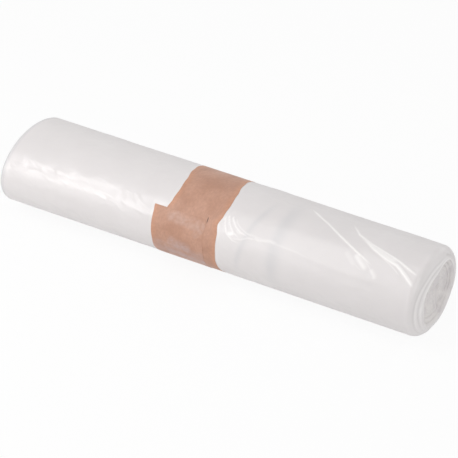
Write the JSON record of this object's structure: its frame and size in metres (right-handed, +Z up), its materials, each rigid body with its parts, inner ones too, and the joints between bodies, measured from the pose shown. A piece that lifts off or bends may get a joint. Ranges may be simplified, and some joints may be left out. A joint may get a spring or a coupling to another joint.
{
  "type": "bin bag roll",
  "caption": "Coreless roll of translucent milky-white film bin bags, soft oval section, lying flat and held closed by a lapped brown paper tape band left of the middle.",
  "frame": {"origin": "centre of the bounding box's base, on the surface the roll rests on", "axes": "+X along the roll to the end that is nearer in the picture, +Z up, -Y towards the viewer's side"},
  "size_m": [0.4, 0.0994, 0.073],
  "materials": {
    "film": "milky translucent polyethylene film, glossy and wrinkled",
    "paper": "brown paper tape with a satin face"
  },
  "bodies": {
    "root": {"bag_roll": "film", "paper_band": "paper"}
  },
  "joints": []
}
